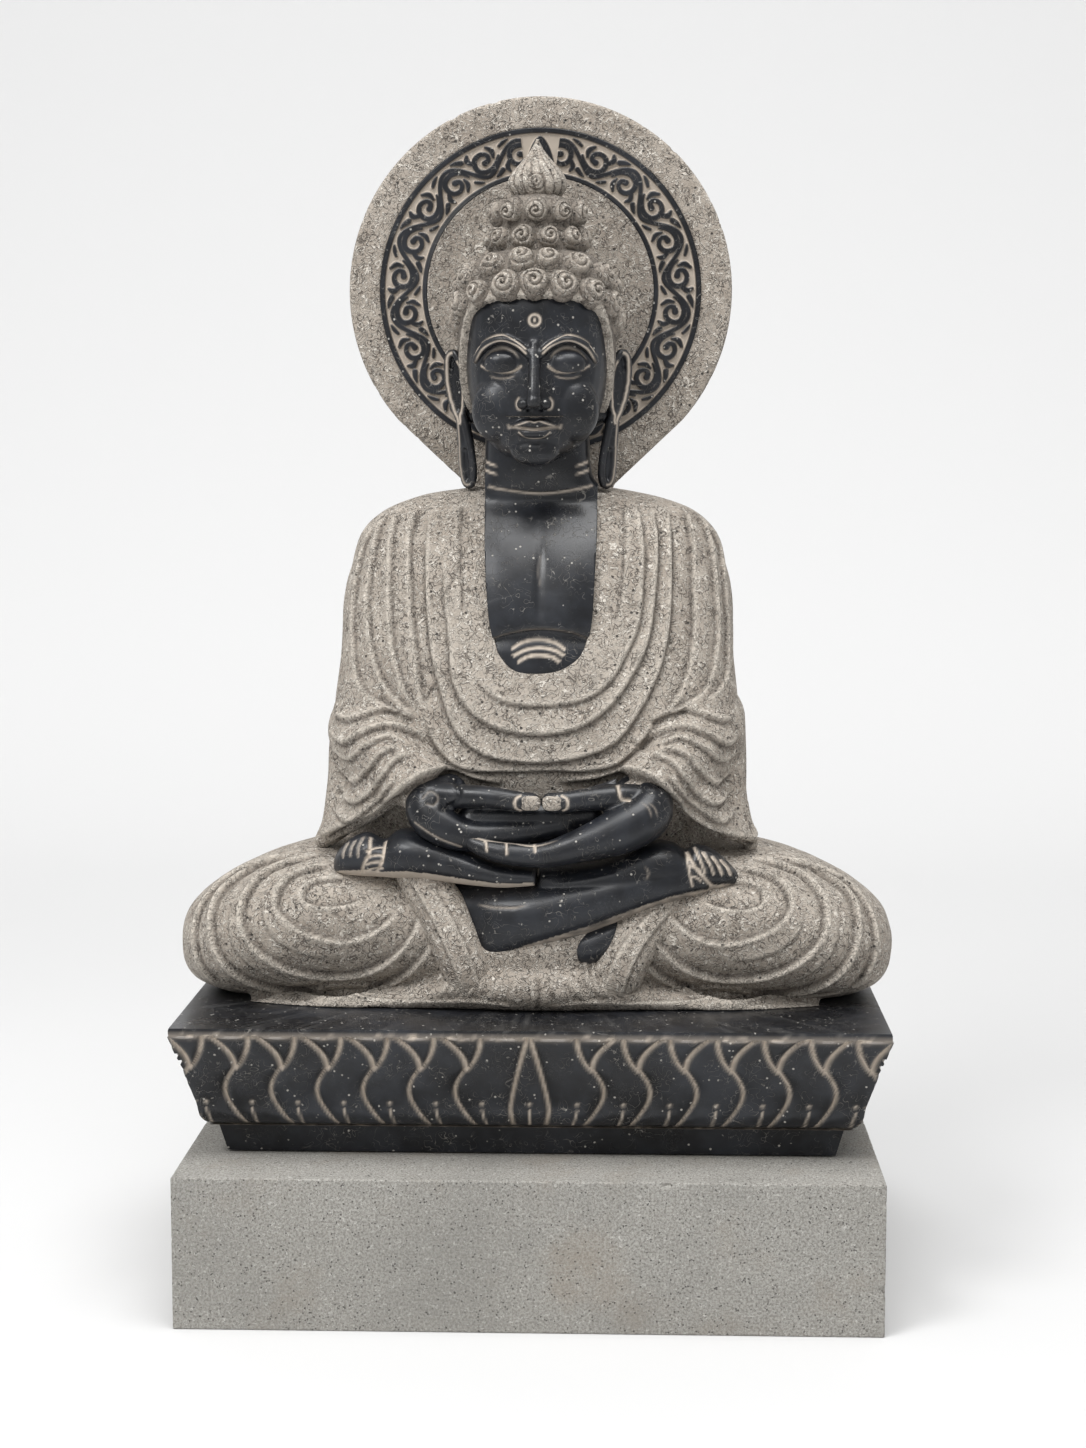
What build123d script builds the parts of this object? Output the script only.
from build123d import *

import os

# Seated stone buddha on a lotus pedestal and a plinth, with a carved halo behind the head.
# Millimetres, +Z up. The origin is the middle of the plinth's underside and the figure faces -Y,
# so the figure's own left side is at +X. Everything on the figure is measured from the seat, the
# level where the robe meets the pedestal.

# ---------------------------------------------------------------- plinth and pedestal

plinth_width = 685.0
plinth_depth = 500.0
plinth_height = 150.0
plinth_arris = 3.0

bed_thickness = 2.0  # stone adhesive between two stones
bed_margin = 12.0  # how far a bed stops short of the stone above it

foot_width = 603.0
foot_depth = 318.0
foot_height = 30.0
foot_flare = 8.0  # how much further out the foot band stands at its top, each side
pedestal_overhang = 49.0  # top edge beyond the foot band's bottom edge, each side
lotus_height = 96.0
lip_height = 8.0

dowel_diameter = 20.0
dowel_length = 110.0
dowel_clearance = 0.5  # radial, filled with adhesive
pedestal_dowel_spacing = 260.0
figure_dowel_spacing = 180.0

# ---------------------------------------------------------------- robe

knee_span = 742.0
lap_height = 144.0
lap_front = 138.0  # from the middle plane to the hem between the shins
lap_back = 178.0

shoulder_width = 422.0
shoulder_height = 512.0  # above the seat
torso_front = 82.0  # robe over the belly, in front of the middle plane
torso_back = 166.0

# ---------------------------------------------------------------- bare chest and neck

collar_width = 112.0
collar_depth = 180.0  # from the shoulders down to the lowest point of the neckline
collar_bottom = shoulder_height - collar_depth
collar_step = 6.0  # how far the skin lies behind the robe
chest_thickness = 60.0

neck_width = 108.0
neck_depth = 96.0
neck_axis = 40.0  # behind the middle plane

# ---------------------------------------------------------------- head

head_width = 148.0
face_front = 55.0
head_back = 92.0
chin_height = shoulder_height + 32.0  # above the seat
head_height = 212.0  # chin to the top of the skull

hairline_height = chin_height + 160.0  # at the forehead
nape_height = chin_height + 46.0
hair_thickness = 9.0
curl_radius = 13.5
curl_rise = 8.0
curl_pitch = 32.0
curl_rows = 4

topknot_height = 72.0
topknot_width = 108.0
topknot_axis = 32.0  # behind the middle plane
jewel_height = 48.0
jewel_width = 60.0

ear_top = chin_height + 115.0
ear_radius = 14.0
ear_axis = 46.0  # behind the middle plane
lobe_radius = 10.0

# ---------------------------------------------------------------- halo

halo_radius = 204.0
halo_centre = chin_height + 182.0
halo_thickness = 32.0
halo_front = 112.0  # behind the middle plane
halo_edge = 2.0
waist_width = 156.0  # where the disc's tangents meet the tenon
waist_height = shoulder_height + 9.0
tenon_depth = 110.0  # below the waist, in the mortise in the shoulders
tenon_clearance = 1.5
band_outer_radius = 171.0
band_inner_radius = 121.0
band_thickness = 3.0

halo_dowel_diameter = 16.0
halo_dowel_length = 80.0

# ---------------------------------------------------------------- hands and legs

wrist_spread = 200.0  # middle to middle of the two wrists
wrist_height = 203.0
wrist_front = 62.0
palm_radius = 31.0
thumb_radius = 9.5
thumb_gap = 0.4  # between the two thumb tips
thumb_height = 211.0
thumb_front = 96.0
finger_radius = 13.5
finger_height = 162.0
finger_front = 104.0

sole_height = 146.0
calf_radius = 38.0
ankle_radius = 26.0

# ---------------------------------------------------------------- levels worked out from them

pedestal_base = plinth_height + bed_thickness
pedestal_top = pedestal_base + foot_height + lotus_height + lip_height
seat = pedestal_top + bed_thickness
dowel_grip = dowel_length / 2
skull_top = chin_height + head_height


def finish(piece, label):
    """Names a finished piece and writes it as one STEP file."""
    piece.label = label
    export_step(piece, f"parts/{label}.step")


def egg(centre, half_width, half_height):
    """A solid of revolution with its middle at centre, which is given above the seat."""
    x, y, rise = centre
    with BuildPart() as body:
        with BuildSketch(Plane(origin=(x, y, seat + rise), x_dir=(1, 0, 0), z_dir=(0, -1, 0))):
            Ellipse(half_width, half_height)
            with Locations((-half_width, 0)):
                Rectangle(2 * half_width, 2 * half_height, mode=Mode.SUBTRACT)
        revolve(axis=Axis((x, y, 0), (0, 0, 1)))
    return body.part


def limb(start, end, start_radius, end_radius):
    """A tapered limb with round ends. Both ends are given above the seat."""
    a = Vector(start[0], start[1], seat + start[2])
    b = Vector(end[0], end[1], seat + end[2])
    section = Plane(origin=a, z_dir=b - a)
    with BuildPart() as tube:
        with BuildSketch(section):
            Circle(start_radius)
        with BuildSketch(section.offset((b - a).length)):
            Circle(end_radius)
        loft()
        with Locations(a):
            Sphere(start_radius)
        with Locations(b):
            Sphere(end_radius)
    return tube.part


def round_loft(sections):
    """A body through level ellipses: rise above the seat, half width, front and back."""
    with BuildPart() as body:
        for rise, half_width, front, back in sections:
            with BuildSketch(Plane.XY.offset(seat + rise)):
                with Locations((0, (back - front) / 2)):
                    Ellipse(half_width, (front + back) / 2)
        loft()
    return body.part


def square_loft(sections, corner):
    """As round_loft, through rounded rectangles. corner is the radius as a share of the depth."""
    with BuildPart() as body:
        for rise, half_width, front, back in sections:
            with BuildSketch(Plane.XY.offset(seat + rise)):
                with Locations((0, (back - front) / 2)):
                    RectangleRounded(2 * half_width, front + back, corner * (front + back))
        loft(ruled=True)
    return body.part


os.makedirs("parts", exist_ok=True)

# ---------------------------------------------------------------- plinth: one sawn granite block

socket_radius = dowel_diameter / 2 + dowel_clearance

with BuildPart() as plinth:
    Box(plinth_width, plinth_depth, plinth_height, align=(Align.CENTER, Align.CENTER, Align.MIN))
    chamfer(plinth.edges(), plinth_arris)
    with Locations(plinth.faces().sort_by(Axis.Z)[-1]):
        with GridLocations(pedestal_dowel_spacing, 0, 2, 1):
            Hole(socket_radius, dowel_grip)
finish(plinth.part, "plinth_block")

# ---------------------------------------------------------------- lotus pedestal: one carved block

# How far the carved side stands out from the foot band's bottom edge, at shares of its height.
lotus_outline = ((0.0, 0.32), (0.06, 0.45), (0.22, 0.48), (0.45, 0.64), (0.72, 0.78), (1.0, 0.95))

with BuildPart() as pedestal:
    with BuildSketch(Plane.XY.offset(pedestal_base)):
        Rectangle(foot_width, foot_depth)
    with BuildSketch(Plane.XY.offset(pedestal_base + foot_height)):
        Rectangle(foot_width + 2 * foot_flare, foot_depth + 2 * foot_flare)
    loft()
    for share, reach in lotus_outline:
        with BuildSketch(Plane.XY.offset(pedestal_base + foot_height + share * lotus_height)):
            grow = 2 * reach * pedestal_overhang
            Rectangle(foot_width + grow, foot_depth + grow)
    loft()
    with BuildSketch(Plane.XY.offset(pedestal_top - lip_height)):
        Rectangle(foot_width + 2 * pedestal_overhang, foot_depth + 2 * pedestal_overhang)
    extrude(amount=lip_height)
    with BuildSketch(Plane.XY.offset(pedestal_base)):
        with GridLocations(pedestal_dowel_spacing, 0, 2, 1):
            Circle(socket_radius)
    extrude(amount=dowel_grip, mode=Mode.SUBTRACT)
    with BuildSketch(Plane.XY.offset(pedestal_top)):
        with GridLocations(figure_dowel_spacing, 0, 2, 1):
            Circle(socket_radius)
    extrude(amount=-dowel_grip, mode=Mode.SUBTRACT)
finish(pedestal.part, "lotus_pedestal")

# ---------------------------------------------------------------- beds and dowels between the stones


def bed(width, depth, level, spacing):
    """A thin sheet of adhesive with a clear hole round each of two dowels."""
    with BuildPart() as sheet:
        with BuildSketch(Plane.XY.offset(level)):
            Rectangle(width - 2 * bed_margin, depth - 2 * bed_margin)
            with GridLocations(spacing, 0, 2, 1):
                Circle(socket_radius, mode=Mode.SUBTRACT)
        extrude(amount=bed_thickness)
    return sheet.part


def dowels(level, spacing):
    """Two plain steel dowels, half in the stone below and half in the stone above the bed."""
    with BuildPart() as pair:
        with BuildSketch(Plane.XY.offset(level + bed_thickness - dowel_grip)):
            with GridLocations(spacing, 0, 2, 1):
                Circle(dowel_diameter / 2)
        extrude(amount=dowel_length - bed_thickness)
        chamfer(pair.edges().filter_by(GeomType.CIRCLE), 1)
    return pair.part


finish(bed(foot_width, foot_depth, plinth_height, pedestal_dowel_spacing), "pedestal_bed")
finish(dowels(plinth_height, pedestal_dowel_spacing), "pedestal_dowels")
finish(dowels(pedestal_top, figure_dowel_spacing), "figure_dowels")

# ---------------------------------------------------------------- bodies that shape the figure

half_span = knee_span / 2
half_shoulder = shoulder_width / 2

# Crossed legs under the robe, from knee to knee: place across, front, back, underside and top.
lap_outline = (
    (1.00, 0.26, 0.20, 0.20, 0.44),
    (0.95, 0.58, 0.42, 0.09, 0.66),
    (0.86, 0.80, 0.62, -0.02, 0.80),
    (0.70, 0.90, 0.86, -0.06, 0.97),
    (0.50, 0.88, 1.00, -0.08, 1.00),
    (0.28, 0.84, 1.00, -0.08, 0.95),
    (0.00, 1.00, 1.00, -0.08, 0.90),
)
both_sides = [(-s[0], *s[1:]) for s in lap_outline] + [s for s in reversed(lap_outline[:-1])]

with BuildPart() as lap_body:
    for across, front, back, under, top in both_sides:
        depth = front * lap_front + back * lap_back
        height = (top - under) * lap_height
        middle = (back * lap_back - front * lap_front) / 2
        section = Plane(origin=(across * half_span, 0, seat), x_dir=(0, 1, 0), z_dir=(1, 0, 0))
        with BuildSketch(section):
            with Locations((middle, under * lap_height + height / 2)):
                RectangleRounded(depth, height, 0.4 * height)
    loft(ruled=True)

lap_seated = split(lap_body.part, bisect_by=Plane.XY.offset(seat), keep=Keep.TOP)

# Torso, upper arms and sleeves: rise, half width, front and back.
torso_body = square_loft(
    (
        (0.16 * shoulder_height, 0.93 * half_shoulder, 0.80 * torso_front, torso_back),
        (0.30 * shoulder_height, 1.03 * half_shoulder, 0.90 * torso_front, torso_back),
        (0.41 * shoulder_height, 0.98 * half_shoulder, torso_front, torso_back),
        (0.49 * shoulder_height, 1.03 * half_shoulder, 0.94 * torso_front, torso_back),
        (0.61 * shoulder_height, 1.02 * half_shoulder, 0.78 * torso_front, torso_back),
        (0.78 * shoulder_height, half_shoulder, 0.58 * torso_front, torso_back),
        (0.90 * shoulder_height, 0.94 * half_shoulder, 0.42 * torso_front, torso_back),
        (0.96 * shoulder_height, 0.82 * half_shoulder, 0.22 * torso_front, 0.99 * torso_back),
        (1.00 * shoulder_height, 0.58 * half_shoulder, -0.02 * torso_front, 0.97 * torso_back),
    ),
    0.42,
)

# Skull and face: an egg, widest at the brows.
half_head = head_width / 2
temple = 0.927 * half_head  # the head's half width where the ears stand


def skull(grow):
    """The head's body, or the same body grown all round by the thickness of the hair."""
    outline = (
        (0.00, 0.30, 0.80, 0.02),
        (0.06, 0.55, 0.90, 0.45),
        (0.16, 0.77, 0.96, 0.80),
        (0.33, 0.94, 1.00, 0.94),
        (0.54, 1.00, 1.00, 1.00),
        (0.74, 0.99, 0.93, 0.99),
        (0.88, 0.84, 0.66, 0.88),
        (1.00, 0.46, 0.00, 0.62),
    )
    return round_loft(
        [
            (
                chin_height + rise * head_height + (grow if rise > 0.5 else 0),
                half_width * half_head + grow,
                front * face_front + grow,
                back * head_back + grow,
            )
            for rise, half_width, front, back in outline
        ]
    )


head_body = skull(0)

# ---------------------------------------------------------------- halo: a disc on a tenon

halo_plane = Plane(origin=(0, halo_front, seat), x_dir=(1, 0, 0), z_dir=(0, 1, 0))
# On halo_plane local y points down, so heights on it are negative.

with BuildPart() as halo_blank:
    with BuildSketch(halo_plane):
        with Locations((0, -halo_centre)):
            Circle(halo_radius)
        with Locations((0, -waist_height)):
            Rectangle(waist_width, 1)
        make_hull()
    extrude(amount=halo_thickness)
    chamfer(halo_blank.edges().filter_by(GeomType.CIRCLE), halo_edge)
    with BuildSketch(halo_plane):
        with Locations((0, -waist_height + tenon_depth / 2)):
            Rectangle(waist_width, tenon_depth)
    extrude(amount=halo_thickness)

tenon_foot = seat + waist_height - tenon_depth
halo_middle = halo_front + halo_thickness / 2
mortise_foot = tenon_foot - bed_thickness
halo_socket = halo_dowel_diameter / 2 + dowel_clearance
halo_grip = halo_dowel_length / 2

with BuildPart() as halo:
    add(halo_blank.part)
    with BuildSketch(halo_plane):
        with Locations((0, -halo_centre)):
            Circle(band_outer_radius)
            Circle(band_inner_radius, mode=Mode.SUBTRACT)
    extrude(amount=band_thickness, mode=Mode.SUBTRACT)
    with BuildSketch(Plane.XY.offset(tenon_foot)):
        with Locations((0, halo_middle)):
            Circle(halo_socket)
    extrude(amount=halo_grip, mode=Mode.SUBTRACT)

with BuildPart() as halo_band:
    with BuildSketch(halo_plane):
        with Locations((0, -halo_centre)):
            Circle(band_outer_radius)
            Circle(band_inner_radius, mode=Mode.SUBTRACT)
    extrude(amount=band_thickness)

with BuildPart() as halo_dowel:
    with BuildSketch(Plane.XY.offset(mortise_foot + bed_thickness - halo_grip)):
        with Locations((0, halo_middle)):
            Circle(halo_dowel_diameter / 2)
    extrude(amount=halo_dowel_length - bed_thickness)
    chamfer(halo_dowel.edges().filter_by(GeomType.CIRCLE), 1)

with BuildPart() as halo_bed:
    with BuildSketch(Plane.XY.offset(mortise_foot)):
        with Locations((0, halo_middle)):
            Rectangle(waist_width, halo_thickness)
            Circle(halo_socket, mode=Mode.SUBTRACT)
    extrude(amount=bed_thickness)

with BuildPart() as mortise:
    with BuildSketch(Plane.XY.offset(mortise_foot)):
        with Locations((0, halo_middle)):
            Rectangle(waist_width + 2 * tenon_clearance, halo_thickness + 2 * tenon_clearance)
    extrude(amount=shoulder_height)
    with BuildSketch(Plane.XY.offset(mortise_foot)):
        with Locations((0, halo_middle)):
            Circle(halo_socket)
    extrude(amount=-halo_grip)

finish(halo_band.part, "halo_band")
finish(halo_dowel.part, "halo_dowel")
finish(halo_bed.part, "halo_bed")

# ---------------------------------------------------------------- hands: thumbs touching, palms up

hand_middle = wrist_spread / 2


def hand(side, reach, level, front):
    """A hand from its wrist towards the middle. side is -1 or 1, reach is where its fingers end."""
    wrist = (side * hand_middle, -wrist_front, wrist_height)
    knuckles = (side * 0.62 * hand_middle, -0.92 * front, level + 0.2 * finger_radius)
    thumb_root = (side * 0.8 * hand_middle, -0.85 * thumb_front, thumb_height - 4)
    thumb_tip = (side * (thumb_radius + thumb_gap / 2), -thumb_front, thumb_height)
    palm = limb(wrist, knuckles, palm_radius, 1.3 * finger_radius)
    fingers = limb(knuckles, (reach, -front, level), 1.2 * finger_radius, finger_radius)
    return palm + fingers + limb(thumb_root, thumb_tip, 1.3 * thumb_radius, thumb_radius)


left_hand_body = hand(1, -55, finger_height, finger_front)
right_hand_body = hand(-1, 45, finger_height + 12, finger_front - 22) - left_hand_body

# ---------------------------------------------------------------- legs: soles up on the thighs

right_shin = limb(
    (-66, -104, 0.62 * sole_height),
    (118, -80, 0.93 * sole_height),
    calf_radius,
    ankle_radius,
)
right_sole = limb(
    (112, -80, 0.94 * sole_height),
    (192, -74, 0.90 * sole_height),
    ankle_radius,
    0.75 * ankle_radius,
)
right_leg_body = right_shin + right_sole
left_foot_body = limb(
    (-48, -84, 1.02 * sole_height),
    (-181, -73, 0.95 * sole_height),
    0.75 * ankle_radius,
    0.95 * ankle_radius,
)
left_foot_body = left_foot_body - right_leg_body
left_shin_body = limb(
    (20, -102, 0.46 * sole_height),
    (90, -88, 0.42 * sole_height),
    0.8 * calf_radius,
    0.7 * calf_radius,
)
left_shin_body = left_shin_body - right_leg_body

right_leg_body = right_leg_body - left_hand_body - right_hand_body
left_foot_body = left_foot_body - left_hand_body - right_hand_body

finish(left_hand_body, "left_hand")
finish(right_hand_body, "right_hand")
finish(right_leg_body, "right_leg")
finish(left_foot_body, "left_foot")
finish(left_shin_body, "left_shin")
limbs = (left_hand_body, right_hand_body, right_leg_body, left_foot_body, left_shin_body)

# ---------------------------------------------------------------- hair, topknot and jewel

hair_slope = Vector(0, face_front + head_back, nape_height - hairline_height)
hairline = Plane(
    origin=(0, -face_front, seat + hairline_height),
    x_dir=(1, 0, 0),
    z_dir=Vector(1, 0, 0).cross(hair_slope),
)
grown_skull = skull(hair_thickness)
hair_body = split(grown_skull, bisect_by=hairline, keep=Keep.TOP)
hair_cap = hair_body - head_body

knot_body = egg((0, topknot_axis, skull_top), topknot_width / 2, topknot_height)
topknot = knot_body - hair_body - head_body

with BuildPart() as jewel:
    with BuildSketch(Plane.XZ.offset(-topknot_axis)):
        with BuildLine():
            base = seat + skull_top + topknot_height - 4
            tip = base + jewel_height
            Polyline((0, tip), (0, base), (0.38 * jewel_width, base))
            Spline(
                (0.38 * jewel_width, base),
                (0.5 * jewel_width, base + 0.3 * jewel_height),
                (0.28 * jewel_width, base + 0.7 * jewel_height),
                (0, tip),
                tangents=((0.6, 1), (-0.5, 1)),
            )
        make_face()
    revolve(axis=Axis((0, topknot_axis, 0), (0, 0, 1)))
flame_jewel = jewel.part - knot_body

# ---------------------------------------------------------------- ears, head and neck


def ear_ends(side):
    """The lobe's and the upper end's middle of one long ear."""
    lobe = (side * (half_head - 0.4 * lobe_radius), ear_axis - 4, shoulder_height)
    top = (side * (temple + 0.93 * ear_radius), ear_axis, ear_top - ear_radius)
    return lobe, top


def ear(side):
    """One long ear: the upper end against the temple, the lobe down on the shoulder."""
    whole = limb(*ear_ends(side), lobe_radius, ear_radius)
    return whole - head_body - hair_body - torso_body


def ear_line(side):
    """The line through the middle of one ear."""
    lobe, top = ear_ends(side)
    return Edge.make_line(Vector(*lobe) + Vector(0, 0, seat), Vector(*top) + Vector(0, 0, seat))


with BuildPart() as neck_body:
    with BuildSketch(Plane.XY.offset(seat + shoulder_height - 40)):
        with Locations((0, neck_axis)):
            Ellipse(neck_width / 2, neck_depth / 2)
    extrude(amount=chin_height + 0.2 * head_height - shoulder_height + 40)

left_ear = ear(1)
right_ear = ear(-1)
ear_lines = (ear_line(-1), ear_line(1))
neck = neck_body.part - head_body

# ---------------------------------------------------------------- curls in sloping rows round the head

knot_line = Edge.make_line((0, topknot_axis, seat), (0, topknot_axis, seat + skull_top + 100))
curl_centres = []
for row in range(curl_rows):
    level = hairline.offset(curl_radius + row * 0.86 * curl_pitch)
    slice_face = (level * Rectangle(1000, 1000) & grown_skull).faces()[0]
    loop = slice_face.outer_wire()
    turns = int(loop.length / curl_pitch)
    for turn in range(turns):
        surface = loop.position_at((turn + 0.5 * (row % 2)) / turns)
        inward = (slice_face.center() - surface).normalized()
        centre = surface + inward * (curl_radius - curl_rise)
        near_ear = min(line.distance_to(centre) for line in ear_lines) < ear_radius + curl_radius
        if not near_ear and knot_line.distance_to(centre) > topknot_width / 2 + curl_radius:
            curl_centres.append(centre)

with BuildPart() as curl_balls:
    with Locations(curl_centres):
        Sphere(curl_radius)
    add(hair_body, mode=Mode.SUBTRACT)

finish(head_body, "head")
finish(neck, "neck")
finish(left_ear, "left_ear")
finish(right_ear, "right_ear")
finish(hair_cap, "hair_cap")
finish(curl_balls.part, "hair_curls")
finish(topknot, "topknot")
finish(flame_jewel, "flame_jewel")

# ---------------------------------------------------------------- robe, chest and halo

with BuildPart() as neckline:
    with BuildSketch(Plane.XZ.offset(-chest_thickness / 2)):
        with Locations((0, seat + collar_bottom + collar_width / 2)):
            Circle(collar_width / 2)
            with Locations((0, (shoulder_height - collar_bottom) / 2)):
                Rectangle(collar_width, shoulder_height - collar_bottom)
    extrude(amount=chest_thickness + torso_front)

chest_body = Pos(0, collar_step, 0) * torso_body & neckline.part
chest = chest_body - neck_body.part
robe_torso = torso_body - neckline.part - neck_body.part - mortise.part - lap_seated
for limb_body in limbs:
    robe_torso = robe_torso - limb_body

with BuildPart() as lap:
    add(lap_seated)
    for limb_body in limbs:
        add(limb_body, mode=Mode.SUBTRACT)
    with BuildSketch(Plane.XY.offset(seat)):
        with GridLocations(figure_dowel_spacing, 0, 2, 1):
            Circle(socket_radius)
    extrude(amount=dowel_grip, mode=Mode.SUBTRACT)

with BuildPart() as figure_bed:
    with BuildSketch(Plane.XY.offset(pedestal_top)):
        Ellipse(0.62 * half_span, 0.6 * lap_back)
        with GridLocations(figure_dowel_spacing, 0, 2, 1):
            Circle(socket_radius, mode=Mode.SUBTRACT)
    extrude(amount=bed_thickness)

finish(chest, "chest")
finish(robe_torso, "robe_torso")
finish(lap.part, "robe_lap")
finish(figure_bed.part, "figure_bed")
finish(halo.part, "halo_slab")
